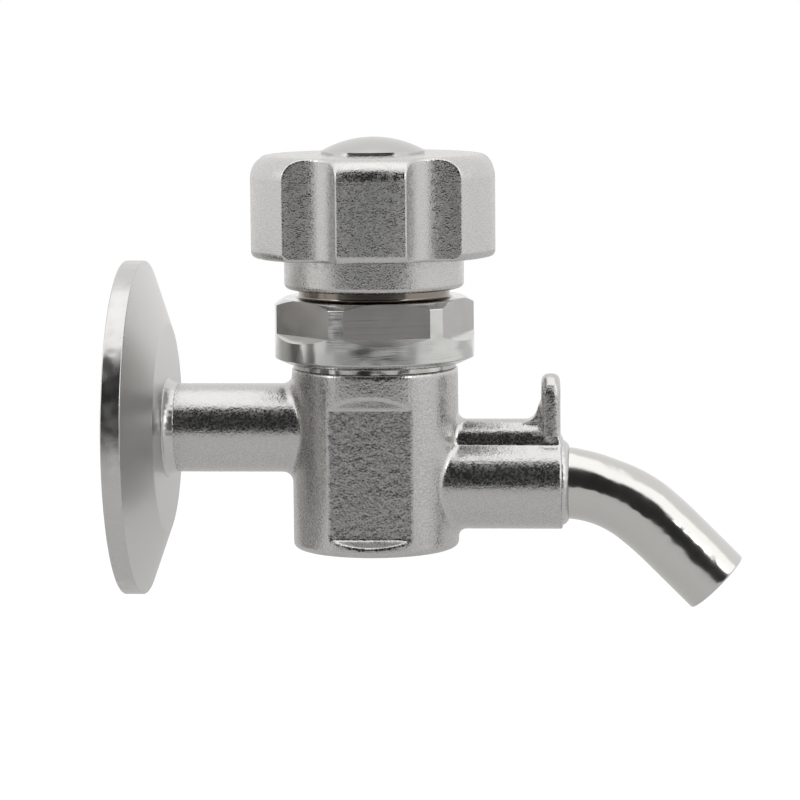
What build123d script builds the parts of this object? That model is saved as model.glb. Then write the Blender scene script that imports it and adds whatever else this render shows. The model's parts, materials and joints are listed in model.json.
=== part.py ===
"""Sanitary sampling valve: a clamp ferrule, a cast body with its spout, a milled bonnet and a rising knob.

Frame: origin at the centre of the ferrule's sealing face, +X along the inlet away from the tank,
+Z up along the stem. Millimetres. The valve is shown closed.
"""

from build123d import *
from math import cos, radians, sin, sqrt, tan
import os

# Clamp ferrule, to the common 50.5 mm clamp size
FERRULE_R = 25.25
RIM_WIDTH = 2.85
CLAMP_ANGLE = 20
FERRULE_BACK_R = 15.8
GASKET_GROOVE_R = 21.8
GASKET_GROOVE_WIDTH_R = 1.6
FERRULE_WEB = 3.1
RIM_ROUND = 0.25

# Cast body
BODY_X = 37.8
BODY_R = 12.5
BODY_TOP = 9.3
BODY_BOTTOM = -18.0
BODY_BOTTOM_ROUND = 0.8
BODY_TOP_ROUND = 0.4
FLAT_OFFSET = 10.9
FLAT_TOP = 4.0
FLAT_BOTTOM = -15.5
FLAT_TOP_RUNOUT = 2.1
FLAT_BOTTOM_RUNOUT = 1.0
FLAT_REACH = 7.0
PIPE_R = 6.7
PIPE_FILLET = 1.5
BORE_R = 3.5

# Outlet side of the casting
OUTLET_Z = -8.3
BARREL_R = 7.0
BARREL_END = 66.0
RIB_R = 3.5
RIB_Z = -2.15
LUG_FACE = 65.6
LUG_THICKNESS = 2.8
LUG_DRAFT = 0.6
LUG_EYE_Z = 4.6
LUG_EYE_R = 1.5
LUG_HALF_WIDTH = 3.6
LUG_FOOT = 1.8
LUG_FOOT_SINK = 0.3
LUG_FOOT_ARC = 2.2
LUG_FOOT_HALF_WIDTH = 2.4
LUG_ROUND = 1.1
OUTLET_FILLET = 1.2

# Chambers inside the body
THREAD_R = 10.0
LEDGE_Z = 4.4
CHAMBER_R = 8.0
CHAMBER_FLOOR = -3.7
SEAT_LIP = 0.4
PORT_R = 3.8
SEAT_LIP_R = 5.0
PORT_BOTTOM = -12.2

# Spout tube
TUBE_R = 5.35
TUBE_BORE_R = 4.35
TUBE_START = 57.0
TUBE_BEND_START = 65.0
TUBE_ARCS = ((24, 10), (19, 28), (50, 7))
TUBE_NOSE = 9.9
TUBE_LIP_ROUND = 0.3
SOCKET_GAP = 0.05

# Weld beads
INLET_BEAD = 1.7
OUTLET_BEAD = 1.0
BEAD_LIFT = 0.12

# Bonnet
LANDING_R = 12.25
LANDING_TOP = 10.0
COLLAR_R = 14.95
COLLAR_FOOT_R = 13.0
COLLAR_LOW = 10.9
COLLAR_HIGH = 18.9
COLLAR_TOP = 19.8
COLLAR_TOP_R = 13.6
WRENCH_OFFSET = 13.5
WRENCH_BOTTOM = 14.65
WRENCH_RUNOUT = 1.35
WRENCH_TURN = -77.7
NECK_R = 11.35
NECK_TOP = 31.0
NECK_ROOT_ROUND = 0.4
SPIGOT_R = 9.95
SPIGOT_BOTTOM = 5.2
GUIDE_R = 7.05
GUIDE_TOP = 11.8
STEM_BORE_R = 4.05
STEM_RING_LEVELS = (14.0, 17.0)
RING_SECTION_R = 0.8
RING_CENTRE_R = 4.84
RING_GROOVE_R = 5.66
RING_GROOVE_WIDTH = 2.0

# Bronze bush that carries the stem's screw
BUSH_BOTTOM = 19.6
BUSH_R = 7.5
SCREW_BORE_R = 5.05

# Stem
STEM_R = 4.0
SCREW_R = 5.0
SCREW_BOTTOM = 20.2
SHOULDER_Z = 33.0
DRIVE_SIZE = 6.9
DRIVE_TOP = 35.7
STEM_LOW = 6.5
STEM_NECK_R = 2.4
BUTTON_TOP = 4.0
BUTTON_BOTTOM = 2.2
BUTTON_R = 4.0
TAPPED_R = 2.5
TAPPED_DEPTH = 12

# Valve plug
PLUG_R = 6.95
PLUG_TOP = 6.4
PLUG_RIM = -2.6
PLUG_ROUND = 0.3
SLOT_GAP = 0.1
BUTTON_GAP = 0.05
SEAL_R = 6.0
SEAL_TOP = -1.2
SEAL_GAP = 0.02
SEAL_SCREW_R = 1.5
SEAL_SCREW_TOP = 1.6
SEAL_HEAD_R = 2.7
SEAL_HEAD_HEIGHT = 1.6
SEAL_HEAD_ROUND = 0.5
SEAL_WASHER_R = 3.3
SEAL_WASHER_THICKNESS = 0.8

# Knob
KNOB_R = 18.75
KNOB_TOP = 41.2
KNOB_CROWN = 0.05
KNOB_TOP_ROUND = 3.2
KNOB_FLAT_R = 8.4
GRIP_BOTTOM = 26.0
GRIP_BOTTOM_ROUND = 1.2
SKIRT_R = 13.47
SKIRT_BOTTOM = 21.2
SKIRT_ROUND = 0.8
CAVITY_R = 11.7
SCALLOPS = 6
SCALLOP_R = 6.0
SCALLOP_HALF_ANGLE = 14
SCALLOP_EDGE_ROUND = 0.45
LOBE_TURN = -86.5
WEB_TOP = 36.0
HEAD_RECESS_R = 5.3
CAP_RECESS_R = 6.5
CAP_RECESS_FLOOR = 38.6
DRIVE_CLEARANCE = 0.05

# Knob fixing and dome cap
FLAT_WASHER_R = 5.0
FLAT_WASHER_THICKNESS = 1.0
SPRING_WASHER_R = 4.5
SPRING_WASHER_THICKNESS = 1.2
SPRING_WASHER_GAP = 0.8
WASHER_GAP = 0.15
SCREW_HEAD_R = 4.25
SCREW_HEAD_HEIGHT = 2.8
SOCKET_SIZE = 4.0
SOCKET_DEPTH = 1.8
SCREW_LENGTH = 11.0
CAP_R = 7.8
CAP_RIM = 0.45
CAP_GAP = 0.05
CAP_APEX = 43.73
CAP_HOLLOW_R = 4.9
CAP_HOLLOW_TOP = 41.8
CAP_SPIGOT_BOTTOM = 38.8
CAP_RING_Z = 39.9
CAP_RING_SECTION_R = 0.44
CAP_RING_GROOVE_R = 5.6

FERRULE_BACK = RIM_WIDTH + (FERRULE_R - FERRULE_BACK_R) * tan(radians(CLAMP_ANGLE))
stem_axis = Axis((BODY_X, 0, 0), (0, 0, 1))


def stem_plane(level=0.0, turn=0.0):
    """A horizontal plane on the stem axis, turned about it."""
    heading = (cos(radians(turn)), sin(radians(turn)), 0)
    return Plane(origin=(BODY_X, 0, level), x_dir=heading, z_dir=(0, 0, 1))


def stem_section(turn=0.0):
    """The plane in which a profile is drawn as (distance from the stem axis, height)."""
    across = (cos(radians(turn)), sin(radians(turn)), 0)
    return Plane(origin=(BODY_X, 0, 0), x_dir=across, z_dir=Vector(across).cross(Vector(0, 0, 1)))


def inlet_section():
    """The plane in which a profile is drawn as (distance along the inlet, distance from its axis)."""
    return Plane(origin=(0, 0, 0), x_dir=(1, 0, 0), z_dir=(0, -1, 0))


def finish_piece(piece, name):
    """Labels a finished piece and writes it as the node of that name."""
    piece.part.label = name
    export_step(piece.part, f"parts/{name}.step")


os.makedirs("parts", exist_ok=True)

# ---- Clamp ferrule: turned, with the gasket groove in its face and a socket for the pipe in its back
with BuildPart() as clamp_ferrule:
    with BuildSketch(inlet_section()):
        with BuildLine():
            Polyline(
                (0, BORE_R), (0, FERRULE_R), (RIM_WIDTH, FERRULE_R), (FERRULE_BACK, FERRULE_BACK_R),
                (FERRULE_BACK, PIPE_R), (FERRULE_WEB, PIPE_R), (FERRULE_WEB, BORE_R), close=True,
            )
        make_face()
        with Locations((0, GASKET_GROOVE_R)):
            Circle(GASKET_GROOVE_WIDTH_R, mode=Mode.SUBTRACT)
    revolve(axis=Axis.X)
    circles = clamp_ferrule.edges().filter_by(GeomType.CIRCLE)
    rim_edges = circles.filter_by(lambda e: e.radius > FERRULE_R - 0.01)
    fillet(rim_edges, radius=RIM_ROUND)
finish_piece(clamp_ferrule, "clamp_ferrule")

# ---- Inlet weld: the bead that joins the pipe to the back of the ferrule
with BuildPart() as inlet_weld:
    with BuildSketch(inlet_section()):
        with BuildLine():
            bead_foot = (FERRULE_BACK + INLET_BEAD, PIPE_R)
            bead_head = (FERRULE_BACK, PIPE_R + INLET_BEAD)
            Polyline(bead_foot, (FERRULE_BACK, PIPE_R), bead_head)
            RadiusArc(bead_foot, bead_head, 2 * INLET_BEAD)
        make_face()
    revolve(axis=Axis.X)
finish_piece(inlet_weld, "inlet_weld")

# ---- Chain lug: a rounded finger, thicker towards its foot, pierced by an eye
with BuildPart() as lug:
    with BuildSketch(Plane.YZ.offset(LUG_FACE - LUG_THICKNESS)):
        with BuildLine():
            left_spring, right_spring = (-LUG_HALF_WIDTH, LUG_EYE_Z), (LUG_HALF_WIDTH, LUG_EYE_Z)
            Polyline(left_spring, (-LUG_HALF_WIDTH, RIB_Z), (LUG_HALF_WIDTH, RIB_Z), right_spring)
            ThreePointArc(left_spring, (0, LUG_EYE_Z + LUG_HALF_WIDTH), right_spring)
        make_face()
    extrude(amount=LUG_THICKNESS)
    crown_edges = lug.edges().filter_by(GeomType.CIRCLE)
    fillet(crown_edges, radius=LUG_ROUND)
    # The back face leans, and sweeps out into the rib at its foot
    with BuildSketch(Plane.XZ):
        with BuildLine():
            lug_back = LUG_FACE - LUG_THICKNESS
            rib_top = RIB_Z + RIB_R
            foot_start = (lug_back - LUG_DRAFT - LUG_FOOT, rib_top - LUG_FOOT_SINK)
            foot_end = (lug_back - LUG_DRAFT, rib_top + LUG_FOOT)
            inside_x, inside_z = lug_back + LUG_ROUND, LUG_EYE_Z + LUG_HALF_WIDTH / 2
            Polyline(foot_end, (inside_x, inside_z), (inside_x, foot_start[1]), foot_start)
            RadiusArc(foot_start, foot_end, -LUG_FOOT_ARC)
        make_face()
    extrude(amount=LUG_FOOT_HALF_WIDTH, both=True)

# ---- Valve body: the casting with its inlet pipe, outlet barrel, rib and chain lug
with BuildPart() as valve_body:
    # Body drum with the inlet pipe, blended where they meet
    with BuildSketch(stem_plane(BODY_BOTTOM)):
        Circle(BODY_R)
    extrude(amount=BODY_TOP - BODY_BOTTOM)
    with BuildSketch(Plane.YZ.offset(FERRULE_WEB)):
        Circle(PIPE_R)
    extrude(amount=BODY_X - FERRULE_WEB)
    fillet(valve_body.edges().filter_by(GeomType.BSPLINE), radius=PIPE_FILLET)

    # Outlet barrel with the rib along its top
    with BuildSketch(Plane.YZ.offset(BODY_X)):
        with Locations((0, OUTLET_Z)):
            Circle(BARREL_R)
        with Locations((0, RIB_Z)):
            Circle(RIB_R)
    extrude(amount=BARREL_END - BODY_X)
    outlet_joint = valve_body.edges().filter_by(GeomType.BSPLINE).filter_by(lambda e: (e @ 0.5).X > BODY_X)
    fillet(outlet_joint, radius=OUTLET_FILLET)
    fillet(valve_body.edges().group_by(Axis.Z)[0], radius=BODY_BOTTOM_ROUND)
    fillet(valve_body.edges().group_by(Axis.Z)[-1], radius=BODY_TOP_ROUND)

    # The rib stops at the lug, short of the barrel's end
    with BuildSketch(Plane.YZ.offset(LUG_FACE)):
        with Locations((0, RIB_Z + RIB_R)):
            Rectangle(4 * RIB_R, 2 * RIB_R)
        with Locations((0, OUTLET_Z)):
            Circle(BARREL_R, mode=Mode.SUBTRACT)
    extrude(amount=BARREL_END - LUG_FACE, mode=Mode.SUBTRACT)

    # Chain lug, standing across the rib's end
    add(lug.part)
    with BuildSketch(Plane.YZ.offset(LUG_FACE - 2 * LUG_THICKNESS)):
        with Locations((0, LUG_EYE_Z)):
            Circle(LUG_EYE_R)
    extrude(amount=4 * LUG_THICKNESS, mode=Mode.SUBTRACT)

    # Wrench flats, front and back
    with BuildSketch(stem_section(-90)):
        for side in (1, -1):
            with BuildLine():
                Polyline(
                    (side * FLAT_OFFSET, FLAT_BOTTOM), (side * FLAT_OFFSET, FLAT_TOP),
                    (side * BODY_R, FLAT_TOP + FLAT_TOP_RUNOUT),
                    (side * 2 * BODY_R, FLAT_TOP + FLAT_TOP_RUNOUT),
                    (side * 2 * BODY_R, FLAT_BOTTOM - FLAT_BOTTOM_RUNOUT),
                    (side * BODY_R, FLAT_BOTTOM - FLAT_BOTTOM_RUNOUT),
                    close=True,
                )
            make_face()
    extrude(amount=FLAT_REACH, both=True, mode=Mode.SUBTRACT)

    # Bonnet thread bore, valve chamber and the seat with its raised lip
    with BuildSketch(stem_section()):
        with BuildLine():
            Polyline(
                (0, BODY_TOP), (THREAD_R, BODY_TOP), (THREAD_R, LEDGE_Z), (CHAMBER_R, LEDGE_Z),
                (CHAMBER_R, CHAMBER_FLOOR), (SEAT_LIP_R, CHAMBER_FLOOR),
                (SEAT_LIP_R, CHAMBER_FLOOR + SEAT_LIP), (PORT_R, CHAMBER_FLOOR + SEAT_LIP),
                (PORT_R, PORT_BOTTOM), (0, PORT_BOTTOM), close=True,
            )
        make_face()
    revolve(axis=stem_axis, mode=Mode.SUBTRACT)

    # Inlet bore, outlet passage and the socket for the spout
    with BuildSketch(Plane.YZ.offset(FERRULE_WEB)):
        Circle(BORE_R)
    extrude(amount=BODY_X - FERRULE_WEB, mode=Mode.SUBTRACT)
    with BuildSketch(Plane.YZ.offset(BODY_X)):
        with Locations((0, OUTLET_Z)):
            Circle(BORE_R)
    extrude(amount=BARREL_END - BODY_X, mode=Mode.SUBTRACT)
    with BuildSketch(Plane.YZ.offset(TUBE_START)):
        with Locations((0, OUTLET_Z)):
            Circle(TUBE_R + SOCKET_GAP)
    extrude(amount=BARREL_END - TUBE_START, mode=Mode.SUBTRACT)
finish_piece(valve_body, "valve_body")

# ---- Spout tube: one bent tube, set in the barrel's socket
with BuildPart() as spout_tube:
    with BuildLine() as spout_path:
        with BuildLine(Plane.XZ):
            run = Line((TUBE_START, OUTLET_Z), (TUBE_BEND_START, OUTLET_Z))
            for bend_r, bend_angle in TUBE_ARCS:
                run = JernArc(run @ 1, run % 1, bend_r, -bend_angle)
            Line(run @ 1, (run @ 1) + (run % 1) * TUBE_NOSE)
    with BuildSketch(Plane.YZ.offset(TUBE_START)):
        with Locations((0, OUTLET_Z)):
            Circle(TUBE_R)
            Circle(TUBE_BORE_R, mode=Mode.SUBTRACT)
    sweep(path=spout_path.wires()[0])
    tube_lip = spout_tube.edges().filter_by(GeomType.CIRCLE).filter_by(lambda e: (e @ 0.5).Z < 2 * OUTLET_Z)
    fillet(tube_lip, radius=TUBE_LIP_ROUND)
finish_piece(spout_tube, "spout_tube")

# ---- Spout weld: the bead round the tube at the barrel's end
with BuildPart() as spout_weld:
    with BuildSketch(Plane(origin=(0, 0, OUTLET_Z), x_dir=(1, 0, 0), z_dir=(0, -1, 0))):
        with BuildLine():
            bead_foot = (BARREL_END + OUTLET_BEAD, TUBE_R + BEAD_LIFT)
            bead_head = (BARREL_END, TUBE_R + OUTLET_BEAD)
            Polyline(bead_foot, (BARREL_END, TUBE_R + BEAD_LIFT), bead_head)
            RadiusArc(bead_foot, bead_head, 2 * OUTLET_BEAD)
        make_face()
    revolve(axis=Axis((0, 0, OUTLET_Z), (1, 0, 0)))
finish_piece(spout_weld, "spout_weld")

# ---- Bonnet gasket: a flat ring between the body's top and the bonnet
with BuildPart() as bonnet_gasket:
    with BuildSketch(stem_plane(BODY_TOP)):
        Circle(LANDING_R)
        Circle(THREAD_R, mode=Mode.SUBTRACT)
    extrude(amount=LANDING_TOP - BODY_TOP)
finish_piece(bonnet_gasket, "bonnet_gasket")

# ---- Bonnet: turned from round bar, six wrench flats milled on its collar
with BuildPart() as bonnet:
    with BuildSketch(stem_section()):
        with BuildLine():
            Polyline(
                (STEM_BORE_R, GUIDE_TOP), (GUIDE_R, GUIDE_TOP), (GUIDE_R, SPIGOT_BOTTOM),
                (SPIGOT_R, SPIGOT_BOTTOM), (SPIGOT_R, LANDING_TOP), (COLLAR_FOOT_R, LANDING_TOP),
                (COLLAR_R, COLLAR_LOW), (COLLAR_R, COLLAR_HIGH), (COLLAR_TOP_R, COLLAR_TOP),
                (NECK_R, COLLAR_TOP), (NECK_R, NECK_TOP), (BUSH_R, NECK_TOP),
                (BUSH_R, BUSH_BOTTOM), (STEM_BORE_R, BUSH_BOTTOM), close=True,
            )
        make_face()
        for level in STEM_RING_LEVELS:
            with Locations(((STEM_BORE_R + RING_GROOVE_R) / 2, level)):
                Rectangle(RING_GROOVE_R - STEM_BORE_R, RING_GROOVE_WIDTH, mode=Mode.SUBTRACT)
    revolve(axis=stem_axis)
    for side in range(6):
        with BuildSketch(stem_section(WRENCH_TURN + 60 * side)):
            with BuildLine():
                Polyline(
                    (WRENCH_OFFSET, WRENCH_BOTTOM), (WRENCH_OFFSET, NECK_TOP), (2 * COLLAR_R, NECK_TOP),
                    (2 * COLLAR_R, WRENCH_BOTTOM - WRENCH_RUNOUT),
                    (WRENCH_OFFSET + WRENCH_RUNOUT, WRENCH_BOTTOM - WRENCH_RUNOUT),
                    close=True,
                )
            make_face()
        extrude(amount=COLLAR_R, both=True, mode=Mode.SUBTRACT)
    circles = bonnet.edges().filter_by(GeomType.CIRCLE)
    neck_root = circles.filter_by(lambda e: abs(e.radius - NECK_R) < 0.01)
    fillet(neck_root.group_by(Axis.Z)[0], radius=NECK_ROOT_ROUND)
    fillet(neck_root.group_by(Axis.Z)[-1], radius=NECK_ROOT_ROUND)
finish_piece(bonnet, "bonnet")

# ---- Screw bush: pressed into the neck, so the steel stem never runs on steel
with BuildPart() as screw_bush:
    with BuildSketch(stem_plane(BUSH_BOTTOM)):
        Circle(BUSH_R)
        Circle(SCREW_BORE_R, mode=Mode.SUBTRACT)
    extrude(amount=NECK_TOP - BUSH_BOTTOM)
finish_piece(screw_bush, "screw_bush")

# ---- Stem: button, neck, ground shank, lifting screw, shoulder and drive square
with BuildPart() as stem:
    with BuildSketch(stem_section()):
        with BuildLine():
            Polyline(
                (0, BUTTON_BOTTOM), (BUTTON_R, BUTTON_BOTTOM), (BUTTON_R, BUTTON_TOP),
                (STEM_NECK_R, BUTTON_TOP), (STEM_NECK_R, STEM_LOW), (STEM_R, STEM_LOW),
                (STEM_R, SCREW_BOTTOM), (SCREW_R, SCREW_BOTTOM), (SCREW_R, SHOULDER_Z),
                (0, SHOULDER_Z), close=True,
            )
        make_face()
    revolve(axis=stem_axis)
    with BuildSketch(stem_plane(SHOULDER_Z)):
        Rectangle(DRIVE_SIZE, DRIVE_SIZE)
    extrude(amount=DRIVE_TOP - SHOULDER_Z)
    with BuildSketch(stem_plane(DRIVE_TOP)):
        Circle(TAPPED_R)
    extrude(amount=-TAPPED_DEPTH, mode=Mode.SUBTRACT)
finish_piece(stem, "stem")

# ---- Stem rings, two in the bonnet's grooves
for ring_name, level in zip(("stem_ring_lower", "stem_ring_upper"), STEM_RING_LEVELS):
    with BuildPart() as stem_ring:
        with BuildSketch(stem_section()):
            with Locations((RING_CENTRE_R, level)):
                Circle(RING_SECTION_R)
        revolve(axis=stem_axis)
    finish_piece(stem_ring, ring_name)

# ---- Plug: slips on the stem's button from the side, and carries the soft seal
with BuildPart() as plug:
    with BuildSketch(stem_plane(PLUG_RIM)):
        Circle(PLUG_R)
    extrude(amount=PLUG_TOP - PLUG_RIM)
    fillet(plug.edges().group_by(Axis.Z)[-1], radius=PLUG_ROUND)
    with BuildSketch(stem_plane(PLUG_RIM)):
        Circle(SEAL_R)
    extrude(amount=SEAL_TOP - PLUG_RIM, mode=Mode.SUBTRACT)
    with BuildSketch(stem_plane(SEAL_TOP)):
        Circle(SEAL_SCREW_R)
    extrude(amount=SEAL_SCREW_TOP - SEAL_TOP, mode=Mode.SUBTRACT)
    slots = (
        (BUTTON_R + SLOT_GAP, BUTTON_BOTTOM - BUTTON_GAP, BUTTON_TOP + BUTTON_GAP),
        (STEM_NECK_R + SLOT_GAP, BUTTON_TOP, PLUG_TOP),
    )
    for half_width, low, high in slots:
        with BuildSketch(stem_plane(low)):
            Circle(half_width)
            with Locations((0, PLUG_R)):
                Rectangle(2 * half_width, 2 * PLUG_R)
        extrude(amount=high - low, mode=Mode.SUBTRACT)
finish_piece(plug, "plug")

# ---- Seal disc, with its washer and screw under the plug
seal_bottom = CHAMBER_FLOOR + SEAT_LIP + SEAL_GAP
with BuildPart() as seal_disc:
    with BuildSketch(stem_plane(seal_bottom)):
        Circle(SEAL_R)
        Circle(SEAL_SCREW_R, mode=Mode.SUBTRACT)
    extrude(amount=SEAL_TOP - seal_bottom)
finish_piece(seal_disc, "seal_disc")

with BuildPart() as seal_washer:
    with BuildSketch(stem_plane(seal_bottom)):
        Circle(SEAL_WASHER_R)
        Circle(SEAL_SCREW_R, mode=Mode.SUBTRACT)
    extrude(amount=-SEAL_WASHER_THICKNESS)
finish_piece(seal_washer, "seal_washer")

with BuildPart() as seal_screw:
    with BuildSketch(stem_plane(seal_bottom - SEAL_WASHER_THICKNESS)):
        Circle(SEAL_HEAD_R)
    extrude(amount=-SEAL_HEAD_HEIGHT)
    fillet(seal_screw.edges().group_by(Axis.Z)[0], radius=SEAL_HEAD_ROUND)
    with BuildSketch(stem_plane(seal_bottom - SEAL_WASHER_THICKNESS)):
        Circle(SEAL_SCREW_R)
    extrude(amount=SEAL_SCREW_TOP - seal_bottom + SEAL_WASHER_THICKNESS)
finish_piece(seal_screw, "seal_screw")

# ---- Knob: turned, six scallops milled down its side, hollow over the bonnet's neck
with BuildPart() as knob:
    with BuildSketch(stem_section()):
        with BuildLine():
            Polyline(
                (0, SKIRT_BOTTOM), (SKIRT_R, SKIRT_BOTTOM), (SKIRT_R, GRIP_BOTTOM), (KNOB_R, GRIP_BOTTOM),
                (KNOB_R, KNOB_TOP - KNOB_CROWN), (KNOB_FLAT_R, KNOB_TOP), (0, KNOB_TOP), close=True,
            )
        make_face()
    revolve(axis=stem_axis)
    grip_edges = knob.edges().filter_by(GeomType.CIRCLE).filter_by(lambda e: e.radius > KNOB_R - 0.01)
    fillet(grip_edges.group_by(Axis.Z)[-1], radius=KNOB_TOP_ROUND)
    grip_edges = knob.edges().filter_by(GeomType.CIRCLE).filter_by(lambda e: e.radius > KNOB_R - 0.01)
    fillet(grip_edges.group_by(Axis.Z)[0], radius=GRIP_BOTTOM_ROUND)
    fillet(knob.edges().group_by(Axis.Z)[0], radius=SKIRT_ROUND)

    scallop_half_chord = KNOB_R * sin(radians(SCALLOP_HALF_ANGLE))
    scallop_reach = KNOB_R * cos(radians(SCALLOP_HALF_ANGLE)) + sqrt(SCALLOP_R**2 - scallop_half_chord**2)
    with BuildSketch(stem_plane(GRIP_BOTTOM, LOBE_TURN + 180 / SCALLOPS)):
        with PolarLocations(scallop_reach, SCALLOPS):
            Circle(SCALLOP_R)
    extrude(amount=KNOB_TOP - GRIP_BOTTOM, mode=Mode.SUBTRACT)
    round_walls = knob.faces().filter_by(GeomType.CYLINDER)
    scallop_walls = round_walls.filter_by(lambda f: abs(f.radius - SCALLOP_R) < 0.01)
    fillet(scallop_walls.edges(), radius=SCALLOP_EDGE_ROUND)

    # Hollow from below, drive hole through the web, recesses for the screw's head and the cap
    recesses = (
        (CAVITY_R, SKIRT_BOTTOM, SHOULDER_Z),
        (HEAD_RECESS_R, WEB_TOP, CAP_RECESS_FLOOR),
        (CAP_RECESS_R, CAP_RECESS_FLOOR, KNOB_TOP),
    )
    for recess_r, low, high in recesses:
        with BuildSketch(stem_plane(low)):
            Circle(recess_r)
        extrude(amount=high - low, mode=Mode.SUBTRACT)
    with BuildSketch(stem_plane(SHOULDER_Z)):
        Rectangle(DRIVE_SIZE + 2 * DRIVE_CLEARANCE, DRIVE_SIZE + 2 * DRIVE_CLEARANCE)
    extrude(amount=WEB_TOP - SHOULDER_Z, mode=Mode.SUBTRACT)
finish_piece(knob, "knob")

# ---- Knob fixing: flat washer, split spring washer and socket screw
with BuildPart() as flat_washer:
    with BuildSketch(stem_plane(WEB_TOP)):
        Circle(FLAT_WASHER_R)
        Circle(TAPPED_R + WASHER_GAP, mode=Mode.SUBTRACT)
    extrude(amount=FLAT_WASHER_THICKNESS)
finish_piece(flat_washer, "flat_washer")

spring_bottom = WEB_TOP + FLAT_WASHER_THICKNESS
with BuildPart() as spring_washer:
    with BuildSketch(stem_plane(spring_bottom)):
        Circle(SPRING_WASHER_R)
        Circle(TAPPED_R + WASHER_GAP, mode=Mode.SUBTRACT)
        with Locations((SPRING_WASHER_R, 0)):
            Rectangle(2 * SPRING_WASHER_R - 2, SPRING_WASHER_GAP, mode=Mode.SUBTRACT)
    extrude(amount=SPRING_WASHER_THICKNESS)
finish_piece(spring_washer, "spring_washer")

head_bottom = spring_bottom + SPRING_WASHER_THICKNESS
with BuildPart() as knob_screw:
    with BuildSketch(stem_plane(head_bottom)):
        Circle(SCREW_HEAD_R)
    extrude(amount=SCREW_HEAD_HEIGHT)
    fillet(knob_screw.edges().group_by(Axis.Z)[-1], radius=SEAL_HEAD_ROUND)
    with BuildSketch(stem_plane(head_bottom)):
        Circle(TAPPED_R)
    extrude(amount=-SCREW_LENGTH)
    with BuildSketch(stem_plane(head_bottom + SCREW_HEAD_HEIGHT)):
        RegularPolygon(SOCKET_SIZE / sqrt(3), 6)
    extrude(amount=-SOCKET_DEPTH, mode=Mode.SUBTRACT)
finish_piece(knob_screw, "knob_screw")

# ---- Knob cap: a low dome on a hollow spigot, held in the knob by a ring
with BuildPart() as knob_cap:
    with BuildSketch(stem_section()):
        with BuildLine():
            cap_side = Polyline(
                (0, CAP_HOLLOW_TOP), (CAP_HOLLOW_R, CAP_HOLLOW_TOP), (CAP_HOLLOW_R, CAP_SPIGOT_BOTTOM),
                (CAP_RECESS_R - CAP_GAP, CAP_SPIGOT_BOTTOM), (CAP_RECESS_R - CAP_GAP, KNOB_TOP),
                (CAP_R, KNOB_TOP), (CAP_R, KNOB_TOP + CAP_RIM),
            )
            dome_height = CAP_APEX - KNOB_TOP - CAP_RIM
            dome_r = (CAP_R**2 + dome_height**2) / (2 * dome_height)
            RadiusArc(cap_side @ 1, (0, CAP_APEX), -dome_r)
            Line((0, CAP_APEX), cap_side @ 0)
        make_face()
        with Locations((CAP_RECESS_R, CAP_RING_Z)):
            Rectangle(2 * (CAP_RECESS_R - CAP_RING_GROOVE_R), 2.6 * CAP_RING_SECTION_R, mode=Mode.SUBTRACT)
    revolve(axis=stem_axis)
finish_piece(knob_cap, "knob_cap")

with BuildPart() as cap_ring:
    with BuildSketch(stem_section()):
        with Locations((CAP_RECESS_R - CAP_RING_SECTION_R, CAP_RING_Z)):
            Circle(CAP_RING_SECTION_R)
    revolve(axis=stem_axis)
finish_piece(cap_ring, "cap_ring")
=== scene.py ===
# %% [markdown]
# # A sanitary sampling valve
# The valve is a small stainless tap that clamps to a tank: a turned ferrule, a cast body, a milled
# bonnet, a scalloped knob and a bent spout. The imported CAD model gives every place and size, and this
# lesson gives each piece the surface that its making leaves: turned, cast, blasted, milled or polished.

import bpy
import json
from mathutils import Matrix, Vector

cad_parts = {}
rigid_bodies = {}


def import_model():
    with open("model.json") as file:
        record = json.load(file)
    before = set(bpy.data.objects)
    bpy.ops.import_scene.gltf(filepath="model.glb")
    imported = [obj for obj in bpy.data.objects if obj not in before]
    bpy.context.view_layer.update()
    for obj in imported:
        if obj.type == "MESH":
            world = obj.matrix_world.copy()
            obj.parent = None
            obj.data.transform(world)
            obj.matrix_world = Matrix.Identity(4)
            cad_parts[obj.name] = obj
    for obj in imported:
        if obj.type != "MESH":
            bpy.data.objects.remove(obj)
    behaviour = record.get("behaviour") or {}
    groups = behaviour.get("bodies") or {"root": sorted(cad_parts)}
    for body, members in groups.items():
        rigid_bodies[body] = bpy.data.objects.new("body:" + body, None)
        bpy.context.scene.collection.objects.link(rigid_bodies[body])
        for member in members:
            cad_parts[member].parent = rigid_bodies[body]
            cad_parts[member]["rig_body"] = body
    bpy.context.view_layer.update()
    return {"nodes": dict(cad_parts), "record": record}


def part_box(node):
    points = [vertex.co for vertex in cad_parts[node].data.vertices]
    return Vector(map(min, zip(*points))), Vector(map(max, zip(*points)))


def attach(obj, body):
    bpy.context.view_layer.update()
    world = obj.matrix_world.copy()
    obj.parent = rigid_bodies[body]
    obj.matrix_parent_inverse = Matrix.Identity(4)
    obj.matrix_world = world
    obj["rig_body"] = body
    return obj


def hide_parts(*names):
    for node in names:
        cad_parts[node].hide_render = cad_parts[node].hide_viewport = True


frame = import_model()
nodes = frame["nodes"]

# %% [markdown]
# ## Units and the stem's axis
# Blender works in metres, while a valve this small is drawn in millimetres. So the valve's sizes are
# written in millimetres here and multiplied by MM, and only the studio round it is given in metres. The
# bonnet, the knob and the cap all turn about the stem, so its axis is measured once, from the stem's own
# solid, rather than typed in.

# %% Tools used by every step
import json
from math import asin, atan2, cos, degrees, pi, radians, sin, tan

import bmesh
import bpy
from mathutils import Matrix, Vector

MM = 0.001
scene = bpy.context.scene


def middle(node):
    """The centre of a CAD node's box, in metres."""
    low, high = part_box(node)
    return (low + high) / 2


STEM = middle("stem")
STEM_FOOT = Vector((STEM.x, 0, 0))
print("stem axis at x = %.1f mm" % (STEM.x / MM))

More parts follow.
